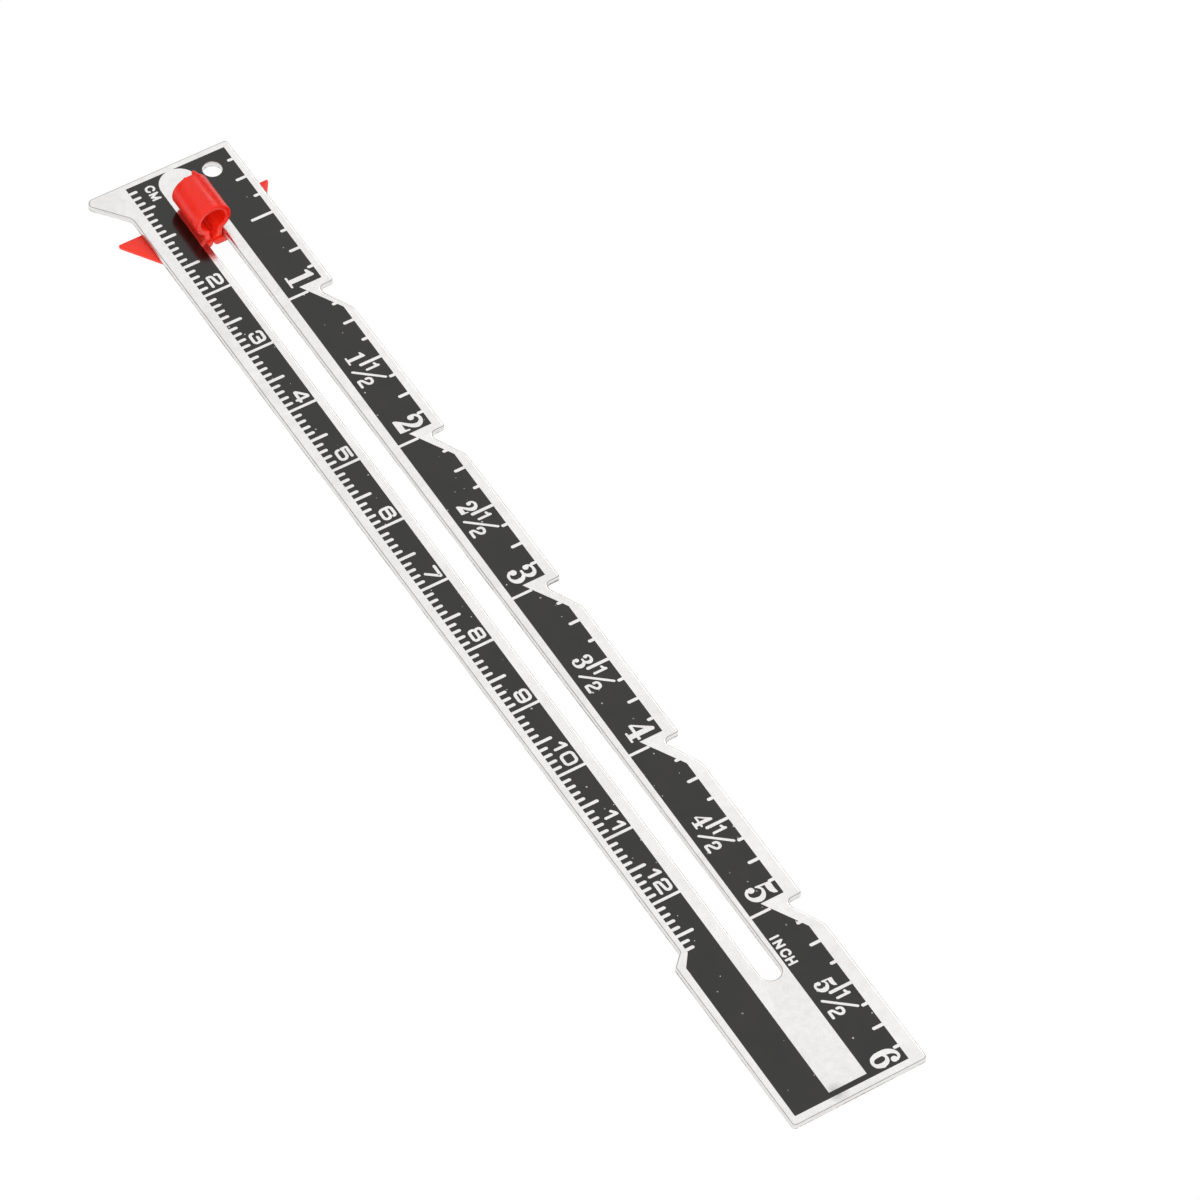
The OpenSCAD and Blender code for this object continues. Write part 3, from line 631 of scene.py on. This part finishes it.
CAPITALS = {  # the unit marks' capitals, 1.0 high, as strokes through (x, y, corner radius), with their widths
    "C": (0.86, [[(0.74, 0.72), (0.6, 0.92, 0.14), (0.08, 0.92, 0.34), (0.08, 0.08, 0.34), (0.6, 0.08, 0.14),
                  (0.74, 0.28)]]),
    "M": (1.0, [[(0.08, 0.08), (0.08, 0.92)], [(0.08, 0.92), (0.46, 0.1)], [(0.46, 0.1), (0.84, 0.92)],
                [(0.84, 0.92), (0.84, 0.08)]]),
    "I": (0.36, [[(0.1, 0.08), (0.1, 0.92)]]),
    "N": (0.92, [[(0.08, 0.08), (0.08, 0.92)], [(0.08, 0.92), (0.7, 0.08)], [(0.7, 0.08), (0.7, 0.92)]]),
    "H": (0.88, [[(0.08, 0.08), (0.08, 0.92)], [(0.66, 0.08), (0.66, 0.92)], [(0.08, 0.5), (0.66, 0.5)]]),
}
UNIT_MARKS = (("CM", 1.95, 1.97, 1.16), ("INCH", 130.35, 8.7, 1.18))  # with left side, base and height


def plain_number(text, right, base):
    """A centimetre number whose right side ends at `right`. A one is narrower than the other figures."""
    shapes, x = [], right
    for figure in reversed(text):
        wide, gap = (0.92, 0.72) if figure == "1" else (1.85, 0.62)
        x -= wide
        for line in PLAIN[figure]:
            shapes += [s + (x, base) for s in stroke(line, PLAIN_STROKE)]
        x -= gap
    return shapes


def fat_figure(figure, left, base, scale=1.0):
    """An inch figure: brushed strokes that swell, ball ends and flat slabs. A small one is brushed bolder."""
    shapes = []
    for kind, *rest in FAT[figure]:
        if kind == "disc":
            x, y, r = rest
            shape = arc(x, y, r, 0, 360, 20)[:-1]
        elif kind == "flat":
            shape = rounded([(x, y, FLAT_R) for x, y in rest[0]], step=45)
        else:
            line = smooth_line(rest[0])
            shape = brushed(line[:, :2], line[:, 2] * (1.0 if scale == 1 else SMALL_BOLDER))
        shapes.append(shape * scale + (left, base))
    return shapes


def word(text, left, base, height):
    """A unit mark in capitals of the given height, with gaps of a fifth of it."""
    shapes, x = [], left
    for letter in text:
        wide, lines = CAPITALS[letter]
        for line in lines:
            line = [(px * height, py * height) + tuple(q * height for q in rest) for px, py, *rest in line]
            shapes += [s + (x, base) for s in stroke(line, UNIT_STROKE)]
        x += (wide + 0.2) * height
    return shapes


def centimetre_marks():
    """Millimetre ticks from 2 to 127, and from 2 cm on a full line at each centimetre with its number before it."""
    marks = []
    for mm in range(2, 128):
        if mm % 10 == 0 and mm > 10:
            marks.append(box(mm - LINE_W / 2, -OVER, mm + LINE_W / 2, CM_W + 2 * OVER))
            marks += plain_number(str(mm // 10), mm - CM_NUMBER_BEFORE, CM_NUMBER_BASE)
        else:
            marks.append(tick(mm, MM_TICK if mm % 5 else FIRST_FIVE_TICK if mm <= 10 else FIVE_TICK))
    return marks


def bare_band():
    """The band round the slot: a half circle at its back, then straight on into the wide end."""
    round_end = arc(PRINT_START + BAND_W / 2 - BAND_OUT, MID_BAND, BAND_W / 2, 90, 270, 36)
    return np.concatenate([round_end, [(BAND_END, CM_W), (BAND_END, IN_NEAR)]])


def inch_ticks():
    """Ticks at every eighth of an inch between the inches; the first eighth after an inch is longer than the rest."""
    marks = []
    for i in range(1, 48):
        odd = FIRST_EIGHTH_TICK if i % 8 == 1 and i > 8 else EIGHTH_TICK
        if i % 8:
            marks.append(tick(i * INCH / 8, HALF_TICK if i % 4 == 0 else QUARTER_TICK if i % 2 == 0 else odd,
                              PRINT_W, -1))
    return marks


def half_inch_number(i):
    """The number of the half inch after inch i: a small figure, then the fraction across the half-inch tick."""
    half = i * INCH + INCH / 2
    left = half - HALF_NUMBER_BEFORE - INCH_FIGURE_W[str(i)] * HALF_NUMBER_SCALE / 2
    marks = fat_figure(str(i), left, HALF_NUMBER_BASE, HALF_NUMBER_SCALE)
    for line in (line for lines in SMALL.values() for line in lines):
        marks += [s + (half, IN_NEAR) for s in stroke(line, FRACTION_STROKE)]
    return marks


def bare_marks():
    """Everything that the ink leaves bare, in the print frame: ticks, full lines, figures, the band, and the surround
    of each notch, which runs out to the panel's edge at a slope as the notch does."""
    marks = centimetre_marks() + [bare_band()] + inch_ticks()
    for i in range(1, NOTCHES + 1):
        x, root = i * INCH, i * INCH - SURROUND_BEFORE
        out = root + SURROUND_DEPTH / SURROUND_SLOPE
        marks.append(np.array([(root, PRINT_W - SURROUND_DEPTH), (out, PRINT_W), (out, PRINT_W + OVER),
                               (root, PRINT_W + OVER)]))
        marks.append(box(x - LINE_W / 2, IN_NEAR - 2 * OVER, x + LINE_W / 2,
                         PRINT_W - SURROUND_DEPTH + SURROUND_SLOPE * SURROUND_BEFORE))
        marks += half_inch_number(i)
    for figure, (left, base) in INCH_FIGURES.items():
        marks += fat_figure(figure, left, base)
    for text, left, base, height in UNIT_MARKS:
        marks += word(text, left, base, height)
    return marks


def ink(panels, marks):
    """One panel of the film out of outlines that overlap, with the bare marks that touch it and the hanging hole cut
    out."""
    hole = to_print(arc(HOLE_AT, HOLE_MID, HOLE_R + SHRINK, 0, 360, 48)[:-1])
    lo = np.min([p.min(0) for p in panels], 0)
    hi = np.max([p.max(0) for p in panels], 0)
    near = [m for m in marks + [hole] if (m.max(0) > lo).all() and (m.min(0) < hi).all()]
    co, tris = cover(panels, near)
    return sheet_between(from_print(co), tris, TOP_Z, TOP_Z + INK_T)


# ---------------------------------------------------------------- the slider

def keyhole():
    """Inner side of the sections, from the left of the slit round the bore to its right: the slit's wall,
    the arc of the throat, the bore, and the same back down."""
    throat_x = SLIT_HALF + THROAT_R
    throat_z = TUBE_Z - math.sqrt((BORE_R + THROAT_R) ** 2 - throat_x ** 2)
    lean = math.degrees(math.atan2(TUBE_Z - throat_z, throat_x))
    return np.concatenate([
        arc(-throat_x, throat_z, THROAT_R, 0, lean, 6),
        arc(0, TUBE_Z, BORE_R, 180 + lean, -lean, 64)[1:-1],
        arc(throat_x, throat_z, THROAT_R, 180 - lean, 180, 6)])


def outer_circle(half):
    """The tube's outer side, from `half` to the right of the middle below, over the top, to `half` to its left."""
    gap = math.degrees(math.asin(half / TUBE_R))
    return arc(0, TUBE_Z, TUBE_R, -90 + gap, 270 - gap, 84)


def tube_profile():
    """C-shaped section of the grip tube alone, whose outer circle closes below as far as the slit."""
    slit, neck = (math.degrees(math.asin(half / TUBE_R)) for half in (SLIT_HALF, NECK_HALF))
    low = arc(0, TUBE_Z, TUBE_R, -90 + slit, -90 + neck, 6)[:-1]
    return np.concatenate([low, outer_circle(NECK_HALF), (low * (-1, 1))[::-1], keyhole()])


def clip_profile():
    """Section of tube, legs and feet in one: the legs leave the tube's outer side straight down, spread into the feet,
    and end towards the slit in rounded toes that spring under the blade."""
    left, right = -(TOE_GAP / 2 + TOE_R) - TOE_SHIFT, TOE_GAP / 2 + TOE_R - TOE_SHIFT
    left_turn = math.degrees(math.acos((-SLIT_HALF - left) / TOE_R))
    right_turn = math.degrees(math.acos((SLIT_HALF - right) / TOE_R))
    fillet = 0.12
    foot = arc(NECK_HALF + fillet, FOOT_T + fillet, fillet, 270, 180, 4)
    low = np.array([(SLIT_HALF, TUBE_Z - math.sqrt(TUBE_R ** 2 - SLIT_HALF ** 2))])
    return np.concatenate([
        [(FOOT_REACH, 0), (FOOT_REACH, FOOT_T)], foot, outer_circle(NECK_HALF), (foot * (-1, 1))[::-1],
        [(-FOOT_REACH, FOOT_T), (-FOOT_REACH, 0)],
        arc(left, TOE_R, TOE_R, -90, left_turn, 16), low * (-1, 1), keyhole(), low,
        arc(right, TOE_R, TOE_R, right_turn, 270, 16)])


def foot_profile(side):
    """Front of one foot, below the blade, a hair larger than the clip's section so that the two overlap. Its toe runs
    round from the ground to the foot's top."""
    more, ground, outside = 0.012, 0.002, side * 2.5
    mid = side * (TOE_GAP / 2 + TOE_R) - TOE_SHIFT
    end = math.degrees(math.asin((FOOT_T + more - TOE_R) / (TOE_R + more)))
    toe = arc(mid, TOE_R, TOE_R + more, -90, end, 14) if side < 0 else arc(mid, TOE_R, TOE_R + more, 270, 180 - end, 14)
    toe[:, 1] = np.maximum(toe[:, 1], ground)
    return np.concatenate([[(outside, ground)], toe, [(outside, FOOT_T + more)]])


def wall_between(outer, inner, x):
    """Flat wall across the slot at x where one section is left when another, inside it, goes on; it faces backwards."""
    flat, tris = cover([outer], [inner])
    return across_slot(flat, x), facing(tris, False)


def grown_together(groups):
    """Closed bodies made one by a union of their solids, worked out at a thousand times the size."""
    solids = []
    for parts in groups:
        solid = bpy.data.objects.new("part", merged(mesh_of("part", parts, 1000), 1000))
        bpy.context.scene.collection.objects.link(solid)
        solids.append(solid)
    for other in solids[1:]:
        union = solids[0].modifiers.new("union", "BOOLEAN")
        union.operation, union.solver, union.object = "UNION", "EXACT", other
    done = solids[0].evaluated_get(bpy.context.evaluated_depsgraph_get()).to_mesh()
    co = np.zeros(len(done.vertices) * 3)
    done.vertices.foreach_get("co", co)
    faces = [list(p.vertices) for p in done.polygons]
    for solid in solids:
        mesh = solid.data
        bpy.data.objects.remove(solid)
        bpy.data.meshes.remove(mesh)
    return co.reshape(-1, 3) / 1000, faces


def slider():
    """The whole moulding: tube, legs and feet, the wings, and the marks that the mould left. Each foot's front starts
    inside the legs and ends just behind the wing's front edge, so that no two faces lie in one plane."""
    tube, clip = tube_profile(), clip_profile()
    groups = [[bar(tube, TUBE_AT, WING_BACK, BACK_RIM_R, 0), wall_between(clip, tube, WING_BACK),
               bar(clip, WING_BACK, TUBE_FRONT, 0, FRONT_RIM_R)]]
    for side in (-1, 1):
        groups += [[bar(foot_profile(side), TUBE_FRONT - FOOT_SUNK, WING_FRONT - FOOT_SHORT, FOOT_BACK_R,
                        FOOT_FRONT_R)], [wing(side)]]
    for turn, sunk, ahead, towards, rings in PEGS:
        r, lean = TUBE_R - sunk, math.radians(turn)
        groups.append([peg(model_point(TUBE_AT + ahead, r * math.sin(lean), TUBE_Z + r * math.cos(lean)), towards,
                           rings)])
    return [grown_together(groups)]


# ---------------------------------------------------------------- the gauge

sheet, walls = blade()
make("stamped_blade", [(rolled_aluminium(), sheet), (sheared_edge(), walls)], "blade", stands_for=("blade",))
black_ink, marks = screen_ink(), bare_marks()
for piece, node, panels in (
        ("centimetre_ink", "cm_print", [
            box(PRINT_START, 0, CM_PANEL_END, CM_W),
            box(PRINT_START, CM_W - OVER, BACK_CORNERS_END, MID_BAND)]),
        ("inch_ink", "inch_print", [
            box(PRINT_START, IN_NEAR, IN_PANEL_END, PRINT_W),
            box(PRINT_START, MID_BAND, BACK_CORNERS_END, IN_NEAR + OVER)]),
        ("wide_end_ink", "base_print", [
            box(CM_PANEL_END, 0, PRINT_END, CM_W),
            np.array([(BASE_STEP_AT, 0.0), (BASE_STEP_END, -BASE_OUT), (PRINT_END, -BASE_OUT), (PRINT_END, OVER),
                      (BASE_STEP_AT, OVER)]),
            box(BAND_END, CM_W - OVER, PRINT_END, IN_NEAR + OVER),
            box(IN_PANEL_END, IN_NEAR, PRINT_END, PRINT_W)])):
    make(piece, [(black_ink, [ink(panels, marks)])], "blade", stands_for=(node,))
make("clip_slider", [(moulded_red(), slider())], "slider", stands_for=("slider",), sharp=40)


# ---------------------------------------------------------------- light, floor, camera

def white_where_seen(tree):
    """1 for rays from the camera and for mirrored or clear rays, which see the white surroundings, and 0 for light."""
    path = add(tree, "ShaderNodeLightPath").outputs
    either = add(tree, "ShaderNodeMath", {0: path["Is Camera Ray"], 1: path["Is Glossy Ray"]}, operation="MAXIMUM")
    return add(tree, "ShaderNodeMath", {0: either, 1: path["Is Transmission Ray"]}, operation="MAXIMUM")


def floor():
    """Plain pale sheet that runs far past the view. As light it is paper; where it is seen or mirrored it glows almost
    white, with a faint shadow."""
    material, tree = finish_named("white_paper_sweep")
    paper = add(tree, "ShaderNodeBsdfDiffuse", {"Color": linear("#F4F4F3")})
    dim = add(tree, "ShaderNodeBsdfDiffuse", {"Color": (0.06, 0.06, 0.06, 1)})
    glow = add(tree, "ShaderNodeEmission", {"Color": (1, 1, 1, 1), "Strength": 0.95})
    bright = add(tree, "ShaderNodeAddShader", {0: dim, 1: glow})
    mix = add(tree, "ShaderNodeMixShader", {0: white_where_seen(tree), 1: paper, 2: bright})
    add(tree, "ShaderNodeOutputMaterial", {"Surface": mix})
    mesh = bpy.data.meshes.new("floor")
    half = 3.0  # metres
    mesh.from_pydata([(-half, -half, 0), (half, -half, 0), (half, half, 0), (-half, half, 0)], [], [(0, 1, 2, 3)])
    mesh.materials.append(material)
    plane = bpy.data.objects.new("floor", mesh)
    bpy.context.scene.collection.objects.link(plane)


def surroundings():
    """White room: plain white to the camera. Mirrored, it is a white ceiling over a grey belt, with a soft box behind
    at the right. As light it is a plain soft fill."""
    world = bpy.data.worlds.new("white_room")
    bpy.context.scene.world = world
    world.use_nodes = True
    tree = world.node_tree
    tree.nodes.clear()
    # the belt draws the stamped edges as grey lines
    way = add(tree, "ShaderNodeTexCoord").outputs["Generated"]
    height = add(tree, "ShaderNodeSeparateXYZ", {0: way}).outputs[2]
    walls = add(tree, "ShaderNodeValToRGB", {0: height}, stops=[(0.0, 0.26), (0.46, 0.3), (0.68, 1.0), (1.0, 1.0)])
    # and the soft box, 6 degrees in radius with a rim to 11, draws the light streak along the tube
    towards_box = add(tree, "ShaderNodeVectorMath", {0: way, 1: (0.6, 0.48, 0.64)}, operation="DOT_PRODUCT")
    box_glow = add(tree, "ShaderNodeMapRange", {0: towards_box.outputs["Value"], 1: 0.98, 2: 0.994, 3: 1.0, 4: 3.5})
    room = add(tree, "ShaderNodeBackground", {"Color": walls, "Strength": box_glow})
    plain = add(tree, "ShaderNodeBackground", {"Color": (1, 1, 1, 1), "Strength": 1.0})
    seen = add(tree, "ShaderNodeMixShader", {0: add(tree, "ShaderNodeLightPath").outputs["Is Camera Ray"],
                                             1: room, 2: plain})
    fill = add(tree, "ShaderNodeBackground", {"Color": (1, 1, 1, 1), "Strength": 0.76})
    mix = add(tree, "ShaderNodeMixShader", {0: white_where_seen(tree), 1: fill, 2: seen})
    add(tree, "ShaderNodeOutputWorld", {"Surface": mix})


def lamp(name, at, size, brightness):
    """Square soft box aimed at the middle of the gauge. Its power gives a white surface that faces it this brightness:
    power = brightness x pi^2 x distance^2. Nothing mirrors it."""
    data = bpy.data.lights.new(name, "AREA")
    data.size = size
    data.energy = brightness * math.pi ** 2 * Vector(at).length ** 2
    light = bpy.data.objects.new(name, data)
    light.location = at
    light.rotation_euler = (-Vector(at)).to_track_quat("-Z", "Y").to_euler()
    light.visible_glossy = False
    bpy.context.scene.collection.objects.link(light)


def camera():
    """Long lens from the left front and above. Place, axes and lens were worked out from the scales' marks, the
    blade's edges, the slot and the hole: lens = focal length in pixels / 1200 x 36 mm."""
    data = bpy.data.cameras.new("camera")
    data.sensor_width, data.lens = 36, 6718.709 / 1200 * 36
    data.clip_start, data.clip_end = 0.05, 20
    cam = bpy.data.objects.new("camera", data)
    right, down = (0.846952, -0.530300, 0.038133), (-0.406065, -0.691496, -0.597448)
    ahead = (0.343195, 0.490525, -0.801001)
    turn = Matrix((right, [-v for v in down], [-v for v in ahead])).transposed().to_4x4()
    cam.matrix_world = Matrix.Translation(Vector((-252.361, -381.680, 616.616)) * MM) @ turn
    bpy.context.scene.collection.objects.link(cam)
    bpy.context.scene.camera = cam


floor()
surroundings()
lamp("key", (-0.55, -0.85, 0.6), 1.2, 0.45)
lamp("rim", (0.8, -0.56, 0.64), 1.0, 0.17)
camera()
bpy.context.scene.view_settings.view_transform = "Standard"
